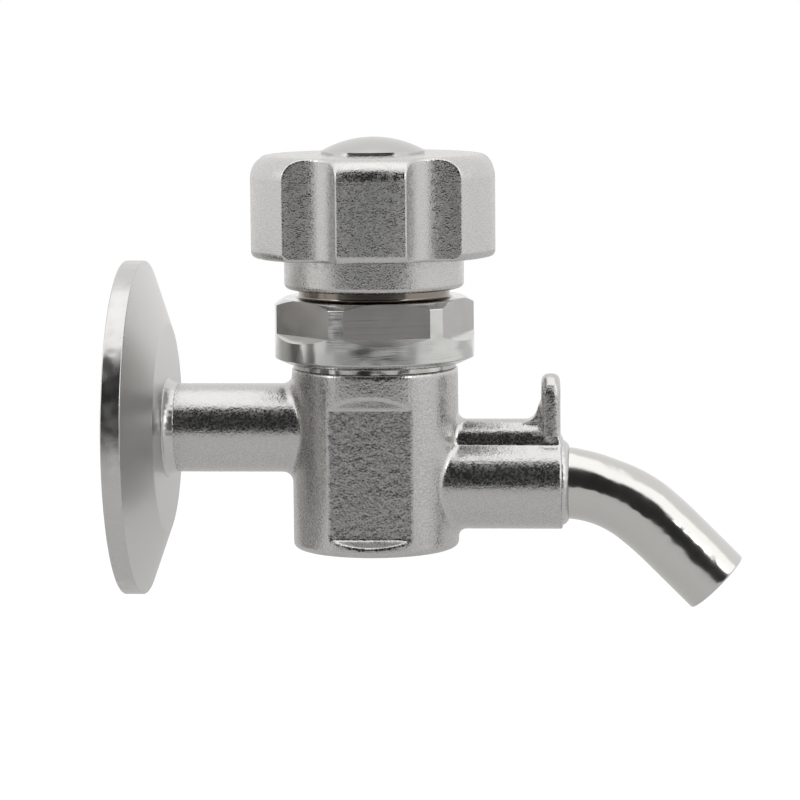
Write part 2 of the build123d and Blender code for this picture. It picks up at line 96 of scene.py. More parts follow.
# %% [markdown]
# ## Building node trees
# The studio and all the metals are node trees. Each could be clicked together by hand in the shader
# editor, but two small helpers, one that adds a node and one that links sockets, keep the scripts for
# them short.


# %% Add a node, link sockets
def put(tree, kind, **settings):
    """A new node in a node tree, with its settings made."""
    node = tree.nodes.new(kind)
    for key, value in settings.items():
        setattr(node, key, value)
    return node


def wire(tree, *pairs):
    """Links each pair of an output and an input socket."""
    for output, socket in pairs:
        tree.links.new(output, socket)


print("node helpers ready")

# %% [markdown]
# ## The studio
# The valve hangs in a white tent. Bright cloth is above, beside and behind it, and the camera looks in
# through a dark opening. Metal shows little but what it reflects, so the opening matters as much as the
# lamps: it draws the dark band along every polished curve. The cloth is brightest overhead and in the
# upper rim of the opening, which edges that band with light. The opening could be a black card on a
# stand, but a card would get in the way of other views, so the world itself is painted as the tent. A
# direction in the world has a side (x), a depth (y, negative towards the camera) and a height (z), each
# between -1 and 1.

# %% The tent's tree and its sums
world = bpy.data.worlds.new("tent")
scene.world = world
world.use_nodes = True
tent = world.node_tree
tent.nodes.clear()


def tent_math(operation, *values):
    """A Math node in the tent's tree; each value is a socket or a number."""
    node = put(tent, "ShaderNodeMath", operation=operation)
    for socket, value in zip(node.inputs, values):
        if isinstance(value, (int, float)):
            socket.default_value = value
        else:
            wire(tent, (value, socket))
    return node.outputs[0]


def tent_step(value, start, end):
    """0 where value is at start or before it, 1 at end or past it, smooth between."""
    node = put(tent, "ShaderNodeMapRange", interpolation_type="SMOOTHSTEP")
    wire(tent, (value, node.inputs["Value"]))
    node.inputs["From Min"].default_value = start
    node.inputs["From Max"].default_value = end
    return node.outputs[0]


print("tent tree ready")

# %% Where the opening, its rim and the ceiling are
FRONT_EDGE = (0.10, -0.02)
TABLE_EDGE = (-0.16, -0.10)
HOLE_EDGE = (0.83, 0.77)
HOLE_SQUASH = 0.93
RIM_EDGE = (0.79, 0.84)
RIM_LOW_END = (0.0, 0.3)
CEILING_EDGE = (0.84, 0.93)
split = put(tent, "ShaderNodeSeparateXYZ")
wire(tent, (put(tent, "ShaderNodeTexCoord").outputs["Generated"], split.inputs[0]))
side, depth, height = split.outputs
low_height = tent_math("MULTIPLY", height, HOLE_SQUASH)
side_squared = tent_math("MULTIPLY", side, side)
height_squared = tent_math("MULTIPLY", low_height, low_height)
across = tent_math("SQRT", tent_math("ADD", side_squared, height_squared))

in_front = tent_step(depth, *FRONT_EDGE)
above_table = tent_step(height, *TABLE_EDGE)
round_hole = tent_math("MULTIPLY", in_front, tent_step(across, *HOLE_EDGE))
opening = tent_math("MULTIPLY", round_hole, above_table)
outside_hole = tent_math("MULTIPLY", in_front, tent_step(across, *RIM_EDGE))
rim = tent_math("MULTIPLY", outside_hole, tent_step(height, *RIM_LOW_END))
ceiling = tent_step(height, *CEILING_EDGE)
print("opening reaches %.0f degrees to each side" % degrees(asin(sum(HOLE_EDGE) / 2)))

# %% Light of the tent, and plain white where the camera sees past the valve
CLOTH_TONE = 1.0
LAMP_GLOW = 0.6
OPENING_TONE = 0.03
glow = tent_math("MULTIPLY", tent_math("MAXIMUM", ceiling, rim), LAMP_GLOW)
cloth = tent_math("ADD", glow, CLOTH_TONE)
lit_cloth = tent_math("MULTIPLY", cloth, tent_math("SUBTRACT", 1.0, opening))
tone = tent_math("ADD", lit_cloth, tent_math("MULTIPLY", opening, OPENING_TONE))

tent_light = put(tent, "ShaderNodeBackground")
white_back = put(tent, "ShaderNodeBackground")
white_back.inputs["Color"].default_value = (1, 1, 1, 1)
rays = put(tent, "ShaderNodeLightPath")
choose = put(tent, "ShaderNodeMixShader")
world_out = put(tent, "ShaderNodeOutputWorld")
wire(
    tent,
    (tone, tent_light.inputs["Color"]),
    (rays.outputs["Is Camera Ray"], choose.inputs["Fac"]),
    (tent_light.outputs[0], choose.inputs[1]),
    (white_back.outputs[0], choose.inputs[2]),
    (choose.outputs[0], world_out.inputs["Surface"]),
)
print("tent has", len(tent.nodes), "nodes")

# %% [markdown]
# ## Softboxes
# The tent alone lights the valve evenly, and even light makes metal look like paint. Two small square
# softboxes, one on each side of the opening, put a narrow highlight on each curve. Area lamps were chosen
# because a point lamp would leave a hard dot.

# %% Two narrow softboxes beside the opening
LAMP_LIFT = radians(22)
LAMP_AWAY = 0.9
LAMP_SIZE = 0.16
LAMP_WATTS = 0.34
for name, turn in (("left_softbox", radians(-60)), ("right_softbox", radians(52))):
    lamp = bpy.data.lights.new(name, "AREA")
    lamp.shape = "SQUARE"
    lamp.size = LAMP_SIZE
    lamp.energy = LAMP_WATTS
    holder = bpy.data.objects.new(name, lamp)
    scene.collection.objects.link(holder)
    out = Vector((sin(turn), -cos(turn), tan(LAMP_LIFT))).normalized()
    holder.location = STEM_FOOT + LAMP_AWAY * out
    holder.rotation_euler = out.to_track_quat("Z", "Y").to_euler()
    print(name, "at", [round(c, 2) for c in holder.location])

# %% [markdown]
# ## Floor
# The valve isn't standing on anything, so a sheet of paper lies well under it. Its own colour is a light
# grey, which metal reflects as a soft lower tone. The camera should see plain white, so for camera rays
# alone most of the paper is a plain glow, and the rest stays paper, which keeps the faint shadow.


# %% Paper under the valve
def show(bm, name):
    """A new object in the scene from a bmesh."""
    mesh = bpy.data.meshes.new(name)
    bm.to_mesh(mesh)
    bm.free()
    piece = bpy.data.objects.new(name, mesh)
    scene.collection.objects.link(piece)
    return piece


FLOOR_DROP = 0.12
FLOOR_REACH = 1.15
bm = bmesh.new()
floor_place = Matrix.Translation((0, 0, -FLOOR_DROP))
bmesh.ops.create_grid(bm, x_segments=1, y_segments=1, size=FLOOR_REACH, matrix=floor_place)
floor = show(bm, "floor")
print("floor %.1f m wide, %.0f mm down" % (2 * FLOOR_REACH, FLOOR_DROP / MM))

# %% Paper's material
PAPER_GREY = 0.60
PAPER_ROUGHNESS = 0.9
PAPER_GLOW = 1.13
GLOW_SHARE = 0.8
paper = bpy.data.materials.new("paper_floor")
paper.use_nodes = True
paper_tree = paper.node_tree
paper_shader = paper_tree.nodes["Principled BSDF"]
paper_shader.inputs["Base Color"].default_value = (PAPER_GREY, PAPER_GREY, PAPER_GREY, 1)
paper_shader.inputs["Roughness"].default_value = PAPER_ROUGHNESS
paper_glow = put(paper_tree, "ShaderNodeEmission")
paper_glow.inputs["Strength"].default_value = PAPER_GLOW
paper_rays = put(paper_tree, "ShaderNodeLightPath")
paper_share = put(paper_tree, "ShaderNodeMath", operation="MULTIPLY")
paper_share.inputs[1].default_value = GLOW_SHARE
paper_mix = put(paper_tree, "ShaderNodeMixShader")
wire(
    paper_tree,
    (paper_rays.outputs["Is Camera Ray"], paper_share.inputs[0]),
    (paper_share.outputs[0], paper_mix.inputs["Fac"]),
    (paper_shader.outputs[0], paper_mix.inputs[1]),
    (paper_glow.outputs[0], paper_mix.inputs[2]),
    (paper_mix.outputs[0], paper_tree.nodes["Material Output"].inputs["Surface"]),
)
floor.data.materials.append(paper)
print("floor material:", paper.name)

# %% [markdown]
# ## The camera
# A long lens about half a metre away, a little to the right of the valve and a little above it. A camera
# could be aimed with a Track To constraint, but its slight roll is easier to give as a matrix built from
# three directions: right, up and back.

# %% Camera
YAW = radians(4.30)
PITCH = radians(6.95)
ROLL = radians(-0.514)
AIM = Vector((41.53, 0, 4.16)) * MM
DISTANCE = 0.494
LENS = 147.7
SENSOR = 36
back = Vector((sin(YAW) * cos(PITCH), -cos(YAW) * cos(PITCH), sin(PITCH)))
level_right = Vector((cos(YAW), sin(YAW), 0))
level_up = back.cross(level_right)
right = cos(ROLL) * level_right + sin(ROLL) * level_up
up = cos(ROLL) * level_up - sin(ROLL) * level_right
camera = bpy.data.objects.new("camera", bpy.data.cameras.new("camera"))
scene.collection.objects.link(camera)
facing = Matrix((right, up, back)).transposed().to_4x4()
camera.matrix_world = Matrix.Translation(AIM + DISTANCE * back) @ facing
camera.data.lens = LENS
camera.data.sensor_width = SENSOR
scene.camera = camera
scene.view_settings.view_transform = "Standard"
print("camera at", [round(c, 3) for c in camera.matrix_world.translation])

# %% [markdown]
# ## Marks on the surface
# Nearly every piece here is the same stainless steel. What differs is the mark each process leaves:
# grains from the casting mould and from blasting, rings and fine lines from the lathe, and long strokes
# from the mill. Each mark is one small node group that gives a height, so a metal only has to choose its
# marks and depths.


# %% An empty mark
def mark_group(name, inputs):
    """A node group with float inputs and one Height output, ready for its nodes."""
    group = bpy.data.node_groups.new(name, "ShaderNodeTree")
    for label, value in inputs:
        socket = group.interface.new_socket(name=label, in_out="INPUT", socket_type="NodeSocketFloat")
        socket.default_value = value
    group.interface.new_socket(name="Height", in_out="OUTPUT", socket_type="NodeSocketFloat")
    return group, put(group, "NodeGroupInput"), put(group, "NodeGroupOutput")


print("marks start empty")

# %% Grains: small round pits over a coarser noise, as sand or shot leaves
COARSE_SCALE = 0.28
grains, inlet, outlet = mark_group("grains", [("Scale", 2500.0), ("Coarse Share", 0.4)])
place = put(grains, "ShaderNodeTexCoord")
fine = put(grains, "ShaderNodeTexVoronoi", feature="F1")
coarse = put(grains, "ShaderNodeTexNoise")
coarse.inputs["Detail"].default_value = 1.0
coarser = put(grains, "ShaderNodeMath", operation="MULTIPLY")
coarser.inputs[1].default_value = COARSE_SCALE
blend = put(grains, "ShaderNodeMix")
wire(
    grains,
    (place.outputs["Object"], fine.inputs["Vector"]),
    (place.outputs["Object"], coarse.inputs["Vector"]),
    (inlet.outputs["Scale"], fine.inputs["Scale"]),
    (inlet.outputs["Scale"], coarser.inputs[0]),
    (coarser.outputs[0], coarse.inputs["Scale"]),
    (inlet.outputs["Coarse Share"], blend.inputs["Factor"]),
    (fine.outputs[0], blend.inputs[2]),
    (coarse.outputs[0], blend.inputs[3]),
    (blend.outputs[0], outlet.inputs[0]),
)
print("mark:", grains.name)

# %% Strokes: noise stretched one way, as a mill or a lathe leaves
strokes, inlet, outlet = mark_group("strokes", [("Along X", 1.0), ("Along Y", 1.0), ("Along Z", 1.0)])
place = put(strokes, "ShaderNodeTexCoord")
scales = put(strokes, "ShaderNodeCombineXYZ")
stretch = put(strokes, "ShaderNodeVectorMath", operation="MULTIPLY")
hair = put(strokes, "ShaderNodeTexNoise")
hair.inputs["Scale"].default_value = 1.0
hair.inputs["Detail"].default_value = 3.0
wire(
    strokes,
    (inlet.outputs[0], scales.inputs[0]),
    (inlet.outputs[1], scales.inputs[1]),
    (inlet.outputs[2], scales.inputs[2]),
    (place.outputs["Object"], stretch.inputs[0]),
    (scales.outputs[0], stretch.inputs[1]),
    (stretch.outputs[0], hair.inputs["Vector"]),
    (hair.outputs[0], outlet.inputs[0]),
)
print("mark:", strokes.name)

# %% Rings: noise by the distance from the inlet's axis, as facing on a lathe leaves
rings, inlet, outlet = mark_group("rings", [("Scale", 3000.0)])
place = put(rings, "ShaderNodeTexCoord")
flatten = put(rings, "ShaderNodeVectorMath", operation="MULTIPLY")
flatten.inputs[1].default_value = (0, 1, 1)
radius = put(rings, "ShaderNodeVectorMath", operation="LENGTH")
apart = put(rings, "ShaderNodeSeparateXYZ")
pair = put(rings, "ShaderNodeCombineXYZ")
groove = put(rings, "ShaderNodeTexNoise")
groove.inputs["Detail"].default_value = 2.0
wire(
    rings,
    (place.outputs["Object"], flatten.inputs[0]),
    (flatten.outputs[0], radius.inputs[0]),
    (place.outputs["Object"], apart.inputs[0]),
    (radius.outputs["Value"], pair.inputs[0]),
    (apart.outputs[0], pair.inputs[1]),
    (pair.outputs[0], groove.inputs["Vector"]),
    (inlet.outputs[0], groove.inputs["Scale"]),
    (groove.outputs[0], outlet.inputs[0]),
)
print("mark:", rings.name)

# %% [markdown]
# ## Metals
# A bump alone can't show grain that is finer than the eye resolves. What the eye does see is that some
# grains are glossier than others and that pits hold the light back. So a metal here has up to three
# effects from the same grains: bumps, an uneven roughness, and darker pits, whose shade is painted into
# the colour.


# %% Bumps in a chain
def add_marks(tree, shader, marks):
    """Feeds the shader's normal from a Bump for each (group, inputs, depth in mm)."""
    normal = None
    for group, values, depth in marks:
        mark = put(tree, "ShaderNodeGroup", node_tree=group)
        for label, value in values.items():
            mark.inputs[label].default_value = value
        bump = put(tree, "ShaderNodeBump")
        bump.inputs["Distance"].default_value = depth * MM
        wire(tree, (mark.outputs["Height"], bump.inputs["Height"]))
        if normal:
            wire(tree, (normal, bump.inputs["Normal"]))
        normal = bump.outputs["Normal"]
    if normal:
        wire(tree, (normal, shader.inputs["Normal"]))


def grain_range(tree, scale, coarse_share, heights, values):
    """A socket that goes from one value to the other as the grains go from one height to the other."""
    grain_node = put(tree, "ShaderNodeGroup", node_tree=grains)
    grain_node.inputs["Scale"].default_value = scale
    grain_node.inputs["Coarse Share"].default_value = coarse_share
    spread = put(tree, "ShaderNodeMapRange")
    for label, value in zip(("From Min", "From Max", "To Min", "To Max"), (*heights, *values)):
        spread.inputs[label].default_value = value
    wire(tree, (grain_node.outputs["Height"], spread.inputs["Value"]))
    return spread.outputs[0]


print("surface helpers ready")

# %% One finish: a metal, or a plain plastic or rubber
GLOSS_HEIGHTS = (0.35, 0.65)
PIT_HEIGHTS = (0.38, 0.60)
PIT_COARSE_SHARE = 0.3
finishes = {}


def finish(name, color, roughness, marks=(), uneven=None, pit_shade=None, metallic=1.0):
    """Makes a material and keeps it in finishes.

    uneven is (grain scale, coarse share, spread): the roughness goes up and down by spread.
    The pit shade is (grain scale, darkest share): painted shade that gives the pits that share of the
    colour.
    """
    material = bpy.data.materials.new(name)
    material.use_nodes = True
    tree = material.node_tree
    shader = tree.nodes["Principled BSDF"]
    shader.inputs["Base Color"].default_value = (*color, 1)
    shader.inputs["Metallic"].default_value = metallic
    shader.inputs["Roughness"].default_value = roughness
    add_marks(tree, shader, marks)
    if uneven:
        scale, coarse_share, spread = uneven
        limits = (roughness - spread, roughness + spread)
        gloss = grain_range(tree, scale, coarse_share, GLOSS_HEIGHTS, limits)
        wire(tree, (gloss, shader.inputs["Roughness"]))
    # Painted shade: the low grains get a darker colour, standing in for the shade inside the pits
    if pit_shade:
        scale, darkest = pit_shade
        share = grain_range(tree, scale, PIT_COARSE_SHARE, PIT_HEIGHTS, (0.0, 1.0))
        # A Mix node set to colours takes them at inputs 6 and 7 and gives the result at output 2
        pit_shade_mix = put(tree, "ShaderNodeMix", data_type="RGBA")
        pit_shade_mix.inputs[6].default_value = (*[darkest * c for c in color], 1)
        pit_shade_mix.inputs[7].default_value = (*color, 1)
        wire(tree, (share, pit_shade_mix.inputs[0]), (pit_shade_mix.outputs[2], shader.inputs["Base Color"]))
    finishes[name] = material


print("finishes so far:", len(finishes))


# %% The marks at a chosen size and depth
def grain_mark(scale, coarse_share, depth):
    """Grains; the depth is in mm."""
    return grains, {"Scale": scale, "Coarse Share": coarse_share}, depth


def stroke_mark(across_stroke, along_z, depth):
    """Strokes round the stem or along a flat: slow change sideways, quick change up and down."""
    return strokes, {"Along X": across_stroke, "Along Y": across_stroke, "Along Z": along_z}, depth


def ring_mark(scale, depth):
    """Lathe rings; the depth is in mm."""
    return rings, {"Scale": scale}, depth


SLOW_WAVES = (1000.0, 1.0)
print("marks: grain, stroke, ring")

# %% Finishes that come from the lathe, the mill and polishing
finish("polished_steel", (0.60, 0.59, 0.57), 0.09, [grain_mark(1300.0, 1.0, 0.09)], (*SLOW_WAVES, 0.03))
finish("rim_steel", (0.56, 0.55, 0.54), 0.28, [grain_mark(1300.0, 1.0, 0.10)], (1300.0, 1.0, 0.08))
finish(
    "turned_steel", (0.59, 0.59, 0.57), 0.14,
    [stroke_mark(300.0, 3000.0, 0.004), grain_mark(900.0, 1.0, 0.07)], (*SLOW_WAVES, 0.05),
)
finish("milled_steel", (0.47, 0.46, 0.45), 0.34, [stroke_mark(90.0, 2600.0, 0.012)], (*SLOW_WAVES, 0.05))
finish(
    "buffed_steel", (0.60, 0.59, 0.565), 0.16,
    [grain_mark(1300.0, 1.0, 0.11), grain_mark(3000.0, 0.6, 0.006)], (*SLOW_WAVES, 0.03),
)
# The neck is darker than the rest of the bonnet: painted shade for the gap under the knob. It is browner
# as well
finish("neck_shade_steel", (0.24, 0.21, 0.18), 0.14, [stroke_mark(300.0, 3000.0, 0.002)])
finish("satin_steel", (0.52, 0.51, 0.50), 0.25, [grain_mark(3000.0, 0.4, 0.004)])
finish("faced_steel", (0.60, 0.59, 0.575), 0.32, [ring_mark(1600.0, 0.020)])
print("finishes so far:", len(finishes))

# %% Finishes that come from the mould, from blasting and from welding, and the soft parts
# The last pair in the cast and blasted finishes is the painted shade of their pits
finish(
    "cast_steel", (0.57, 0.56, 0.55), 0.25,
    [grain_mark(3000.0, 0.5, 0.030)], (2800.0, 0.4, 0.08), (2800.0, 0.90),
)
finish(
    "rough_cast", (0.50, 0.49, 0.485), 0.38,
    [grain_mark(3000.0, 0.35, 0.06)], (2800.0, 0.4, 0.10), (2800.0, 0.62),
)
finish(
    "blasted_steel", (0.60, 0.59, 0.575), 0.28,
    [grain_mark(4500.0, 0.25, 0.024)], (4200.0, 0.5, 0.16), (4200.0, 0.90),
)
finish("weld_steel", (0.60, 0.59, 0.58), 0.30, [grain_mark(1800.0, 0.8, 0.05)])
finish("bush_bronze", (0.52, 0.37, 0.21), 0.25, [ring_mark(3000.0, 0.002)])
finish("seal_rubber", (0.03, 0.03, 0.03), 0.6, metallic=0.0)
finish("seal_plastic", (0.86, 0.86, 0.84), 0.5, metallic=0.0)
print("finishes:", ", ".join(finishes))

# %% [markdown]
# ## Every solid gets its finish
# The record names a finish for each solid. Most solids keep their CAD mesh as it is, with only the finish
# changed: the knob is one of them, because its rounded edges are already in its solid. The pieces that
# follow replace the solids whose making shows more than a solid can hold.

# %% Finishes on the CAD solids
for part in frame["record"]["subparts"]:
    slots = nodes[part["node"]].data.materials
    slots.clear()
    slots.append(finishes[part["material_slot"]])

# %% [markdown]
# ## Pieces that replace a solid
# No real edge is perfectly sharp, and a casting has none that are sharp at all. A piece can start as a
# copy of its solid, whose loose triangles are joined first, or from a new outline. Modifiers then shape
# it and are baked into its mesh, so that the mesh holds what is seen.


# %% Copy a solid, bake a piece's modifiers, settle a piece
def merged_copy(node, name):
    """A copy of a CAD solid with its loose triangles joined."""
    bm = bmesh.new()
    bm.from_mesh(nodes[node].data)
    bmesh.ops.remove_doubles(bm, verts=bm.verts, dist=0.002 * MM)
    return show(bm, name)


def add_modifier(piece, kind, **settings):
    """A modifier on a piece, with its settings made."""
    modifier = piece.modifiers.new(kind.lower(), kind)
    for key, value in settings.items():
        setattr(modifier, key, value)
    return modifier


def bake(piece):
    """Applies a piece's modifiers to its mesh."""
    bpy.context.view_layer.update()
    seen = piece.evaluated_get(bpy.context.evaluated_depsgraph_get())
    mesh = bpy.data.meshes.new_from_object(seen)
    piece.modifiers.clear()
    piece.data = mesh


def settle(piece, node, names):
    """Gives a piece its finishes, and puts it in its node's place and on its node's body."""
    piece.data.materials.clear()
    for name in names:
        piece.data.materials.append(finishes[name])
    for polygon in piece.data.polygons:
        polygon.use_smooth = True
    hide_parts(node)
    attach(piece, nodes[node]["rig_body"])
    print("%s: %d faces" % (piece.name, len(piece.data.polygons)))


print("piece helpers ready")

# %% [markdown]
# ## Body casting
# The body is one casting: drum, inlet pipe, outlet barrel, rib and lug, with a flat on each side of the
# drum. Sand and shot round every corner and every inner angle of it at once. A bevel can't do that where
# pipes meet, so the solid is rebuilt in small cells and smoothed. The crescent above each flat leans back
# a little more than in the solid, so its upper points are lowered first.

# %% Crescents, then cells, then smoothing
FLAT_Y = 10.9
FLAT_TOP = 4.0
CRESCENT_HEIGHT = 2.1
CRESCENT_SLOPE = 1.6 / CRESCENT_HEIGHT
CRESCENT_REACH = 6.3
CRESCENT_SHARE = 0.85
ON_SLOPE = 0.03
CELL = 0.26
casting = merged_copy("valve_body", "body_casting")
lowered = 0
for vert in casting.data.vertices:
    over = vert.co.z - FLAT_TOP * MM
    depth_in = abs(vert.co.y) - FLAT_Y * MM
    on_slope = abs(depth_in - over * CRESCENT_SLOPE) < ON_SLOPE * MM
    in_height = 0.02 * MM < over < (CRESCENT_HEIGHT + 0.02) * MM
    if on_slope and in_height and abs(vert.co.x - STEM.x) < CRESCENT_REACH * MM:
        vert.co.z = FLAT_TOP * MM + over * CRESCENT_SHARE
        lowered += 1
add_modifier(casting, "REMESH", mode="VOXEL", voxel_size=CELL * MM)
add_modifier(casting, "SMOOTH", factor=0.5, iterations=2)
bake(casting)
print("points lowered:", lowered)

# %% Grain of the mould: deep on the flats and the lug's front, light elsewhere
FLAT_REACH = 6.2
FLAT_FOOT = -15.4
ON_BODY_FLAT = 0.12
LUG_X = 61.0
LUG_FOOT = 1.5
LUG_FRONT_Y = -3.2
MOULD_GRAIN = 0.60
DEEP_GRAIN = 0.14
LIGHT_GRAIN = 0.03
mould = bpy.data.textures.new("mould_grain", "CLOUDS")
mould.noise_scale = MOULD_GRAIN * MM
mould.noise_depth = 2
flat_verts = set()
rough_verts = []
for vert in casting.data.vertices:
    spot = vert.co / MM
    near_flat = abs(abs(spot.y) - FLAT_Y) < ON_BODY_FLAT and abs(spot.x - STEM.x / MM) < FLAT_REACH
    if near_flat and FLAT_FOOT < spot.z < FLAT_TOP - 0.1:
        flat_verts.add(vert.index)
        rough_verts.append(vert.index)
    elif spot.x > LUG_X and spot.z > LUG_FOOT and spot.y < LUG_FRONT_Y:
        rough_verts.append(vert.index)
casting.vertex_groups.new(name="rough").add(rough_verts, 1.0, "REPLACE")
grain_settings = {"texture": mould, "texture_coords": "LOCAL", "mid_level": 0.5}
add_modifier(casting, "DISPLACE", vertex_group="rough", strength=DEEP_GRAIN * MM, **grain_settings)
add_modifier(casting, "DISPLACE", strength=LIGHT_GRAIN * MM, **grain_settings)
bake(casting)
print("points on the flats:", len(flat_verts), "rough points:", len(rough_verts))

# %% Casting's two finishes
LUG_BACK_X = 61.6
LUG_LOW = -1.0
FACING_FRONT = -0.8
settle(casting, "valve_body", ["cast_steel", "rough_cast"])
for polygon in casting.data.polygons:
    centre = polygon.center / MM
    on_lug = centre.x > LUG_BACK_X and centre.z > LUG_LOW and polygon.normal.y < FACING_FRONT
    if on_lug or all(v in flat_verts for v in polygon.vertices):
        polygon.material_index = 1
print("rough faces:", sum(p.material_index for p in casting.data.polygons))

# %% [markdown]
# ## Turned pieces
# The ferrule, the bonnet and the weld beads are round, so each is one outline spun about its axis. The
# outline could be a curve with a bevel, but spun points keep every radius exact, and a vertex bevel on
# the outline rounds a corner before the spin, which is just how a lathe tool's nose leaves it. Smooth
# shading would smear light round the corners, so sharp edges are marked and the shading is weighed by
# face size.


# %% Spin an outline
def turned(name, outline, axis, centre, rounds=(), steps=192):
    """Spins an outline of (along, radius) in mm about an axis.

    rounds lists corners to round before the spin, as (index in the outline, size in mm).
    """
    bm = bmesh.new()
    along, out = Vector((1, 0, 0)), Vector((0, 0, 1))
    if axis == "Z":
        along, out = out, along
    verts = [bm.verts.new(centre + (a * along + r * out) * MM) for a, r in outline]
    for first, second in zip(verts, verts[1:] + verts[:1]):
        bm.edges.new((first, second))
    for index, size in rounds:
        bmesh.ops.bevel(
            bm, geom=[verts[index]], offset=size * MM, segments=4, profile=0.5,
            affect="VERTICES", material=-1,
        )
    bmesh.ops.spin(
        bm, geom=bm.verts[:] + bm.edges[:], axis=along, cent=centre, angle=2 * pi,
        steps=steps, use_merge=True,
    )
    bmesh.ops.remove_doubles(bm, verts=bm.verts, dist=0.0005 * MM)
    bmesh.ops.recalc_face_normals(bm, faces=bm.faces)
    return show(bm, name)


print("lathe ready")


# %% Crisp edges and even shading
def crisp(piece, angle):
    """Marks edges sharper than an angle in degrees, so that smooth shading stops at them."""
    bm = bmesh.new()
    bm.from_mesh(piece.data)
    for edge in bm.edges:
        edge.smooth = len(edge.link_faces) != 2 or edge.calc_face_angle() < radians(angle)
    bm.to_mesh(piece.data)
    bm.free()


def even_shading(piece):
    """Weighs normals by face area, so a narrow bevel doesn't bend the light on the wall beside it."""
    add_modifier(piece, "WEIGHTED_NORMAL", keep_sharp=True, weight=80)
    bake(piece)


print("shading helpers ready")

# %% [markdown]
# ## Clamp ferrule
# The disc that clamps to the tank: a flat sealing face with a groove for the gasket, a narrow rim, and a
# cone on its back that the clamp's jaws wedge against. The back is faced on a lathe and shows fine rings,
# while the rim is smoother, so it has a finish of its own. One outline gives all of it, and a face's
# distance from the axis then tells whether it is on the rim.

# %% Spin the ferrule
ORIGIN = Vector((0, 0, 0))
FERRULE_OUTLINE = [
    (0, 3.5), (0, 20.0), (1.5, 20.6), (1.5, 23.0), (0, 23.6), (0, 25.25),
    (2.85, 25.25), (6.29, 15.8), (6.29, 6.7), (3.1, 6.7), (3.1, 3.5),
]
FERRULE_ROUNDS = ((7, 0.25), (6, 0.15), (5, 0.2), (4, 0.3), (3, 0.5), (2, 0.5), (1, 0.3))
RIM_RADIUS = 25.1
ferrule = turned("turned_ferrule", FERRULE_OUTLINE, "X", ORIGIN, FERRULE_ROUNDS, steps=256)
settle(ferrule, "clamp_ferrule", ["faced_steel", "rim_steel"])
for polygon in ferrule.data.polygons:
    if polygon.center.yz.length > RIM_RADIUS * MM:
        polygon.material_index = 1
crisp(ferrule, 30)
even_shading(ferrule)
print("rim faces:", sum(p.material_index for p in ferrule.data.polygons))

# %% [markdown]
# ## Bonnet
# The bonnet screws into the body and carries the stem. It is turned first, with a wide collar and a neck,
# and then six flats are milled for a wrench. The mill runs out over the collar in a slope, which leaves a
# crescent under each flat. Solid blocks could be cut from an outline that is already six-sided, but
# turning first and milling after is how such a bonnet is made, and it gives the crescents by itself.

# %% Turn the bonnet
FLAT_TURN = radians(-77.7)
FLAT_OUT = 13.5
BONNET_OUTLINE = [
    (5.2, 7.05), (5.2, 9.95), (10.0, 9.95), (10.0, 13.0), (10.9, 14.95), (18.9, 14.95), (19.8, 13.6),
    (19.8, 11.35), (31.0, 11.35), (31.0, 7.5), (19.6, 7.5), (19.6, 4.05), (11.8, 4.05), (11.8, 7.05),
]
BONNET_ROUNDS = ((8, 0.4), (7, 0.5), (6, 0.12), (5, 0.12), (4, 0.12), (3, 0.12))
bonnet = turned("milled_bonnet", BONNET_OUTLINE, "Z", STEM_FOOT, BONNET_ROUNDS, steps=240)
print("turned bonnet: %d faces" % len(bonnet.data.polygons))

# %% Mill six flats
MILL_SIZE = Vector((8, 40, 24))
MILL_FOOT = 14.65
MILL_PLACE = Vector((FLAT_OUT + MILL_SIZE.x / 2, 0, MILL_FOOT + MILL_SIZE.z / 2))
RUN_OUT_DROP = 5.2
BONNET_EDGE = 0.09


def mill_block(turn):
    """The space that the mill clears for one flat: a block whose outer lower edge hangs lower."""
    bm = bmesh.new()
    bmesh.ops.create_cube(bm, size=1, matrix=Matrix.Diagonal((*(MILL_SIZE * MM), 1)))
    low_outer = [v for v in bm.verts if v.co.z < 0 and v.co.x > 0]
    bmesh.ops.translate(bm, verts=low_outer, vec=Vector((0, 0, -RUN_OUT_DROP)) * MM)
    bmesh.ops.translate(bm, verts=bm.verts, vec=MILL_PLACE * MM)
    bmesh.ops.rotate(bm, verts=bm.verts, cent=ORIGIN, matrix=Matrix.Rotation(turn, 3, "Z"))
    bmesh.ops.translate(bm, verts=bm.verts, vec=STEM_FOOT)
    bmesh.ops.recalc_face_normals(bm, faces=bm.faces)
    return show(bm, "mill")


for flat in range(6):
    mill = mill_block(FLAT_TURN + flat * pi / 3)
    add_modifier(bonnet, "BOOLEAN", operation="DIFFERENCE", solver="EXACT", object=mill)
    bake(bonnet)
    bpy.data.objects.remove(mill)
sharp_only = {"limit_method": "ANGLE", "angle_limit": radians(24)}
add_modifier(bonnet, "BEVEL", width=BONNET_EDGE * MM, segments=2, **sharp_only)
bake(bonnet)
print("milled bonnet: %d faces" % len(bonnet.data.polygons))

# %% Bonnet's three finishes: turned, milled flats, and the neck
NECK_RADIUS = 12.3
NECK_FOOT = 19.5
FLAT_HEIGHTS = (14.7, 19.7)
ON_FLAT = 0.02
MANY_SIDES = 12
settle(bonnet, "bonnet", ["turned_steel", "milled_steel", "neck_shade_steel"])
crisp(bonnet, 28)
for polygon in bonnet.data.polygons:
    spot = (polygon.center - STEM_FOOT) / MM
    turn = (atan2(spot.y, spot.x) - FLAT_TURN + pi / 6) % (pi / 3) - pi / 6
    from_flat = abs(spot.xy.length * cos(turn) - FLAT_OUT)
    # A many-sided face is a flat or an end, so it is shaded flat
    if len(polygon.vertices) > MANY_SIDES:
        polygon.use_smooth = False
    if from_flat < ON_FLAT and FLAT_HEIGHTS[0] < spot.z < FLAT_HEIGHTS[1]:
        polygon.material_index = 1
    elif spot.xy.length < NECK_RADIUS and spot.z > NECK_FOOT:
        polygon.material_index = 2
even_shading(bonnet)
print("flat faces:", sum(p.material_index == 1 for p in bonnet.data.polygons))

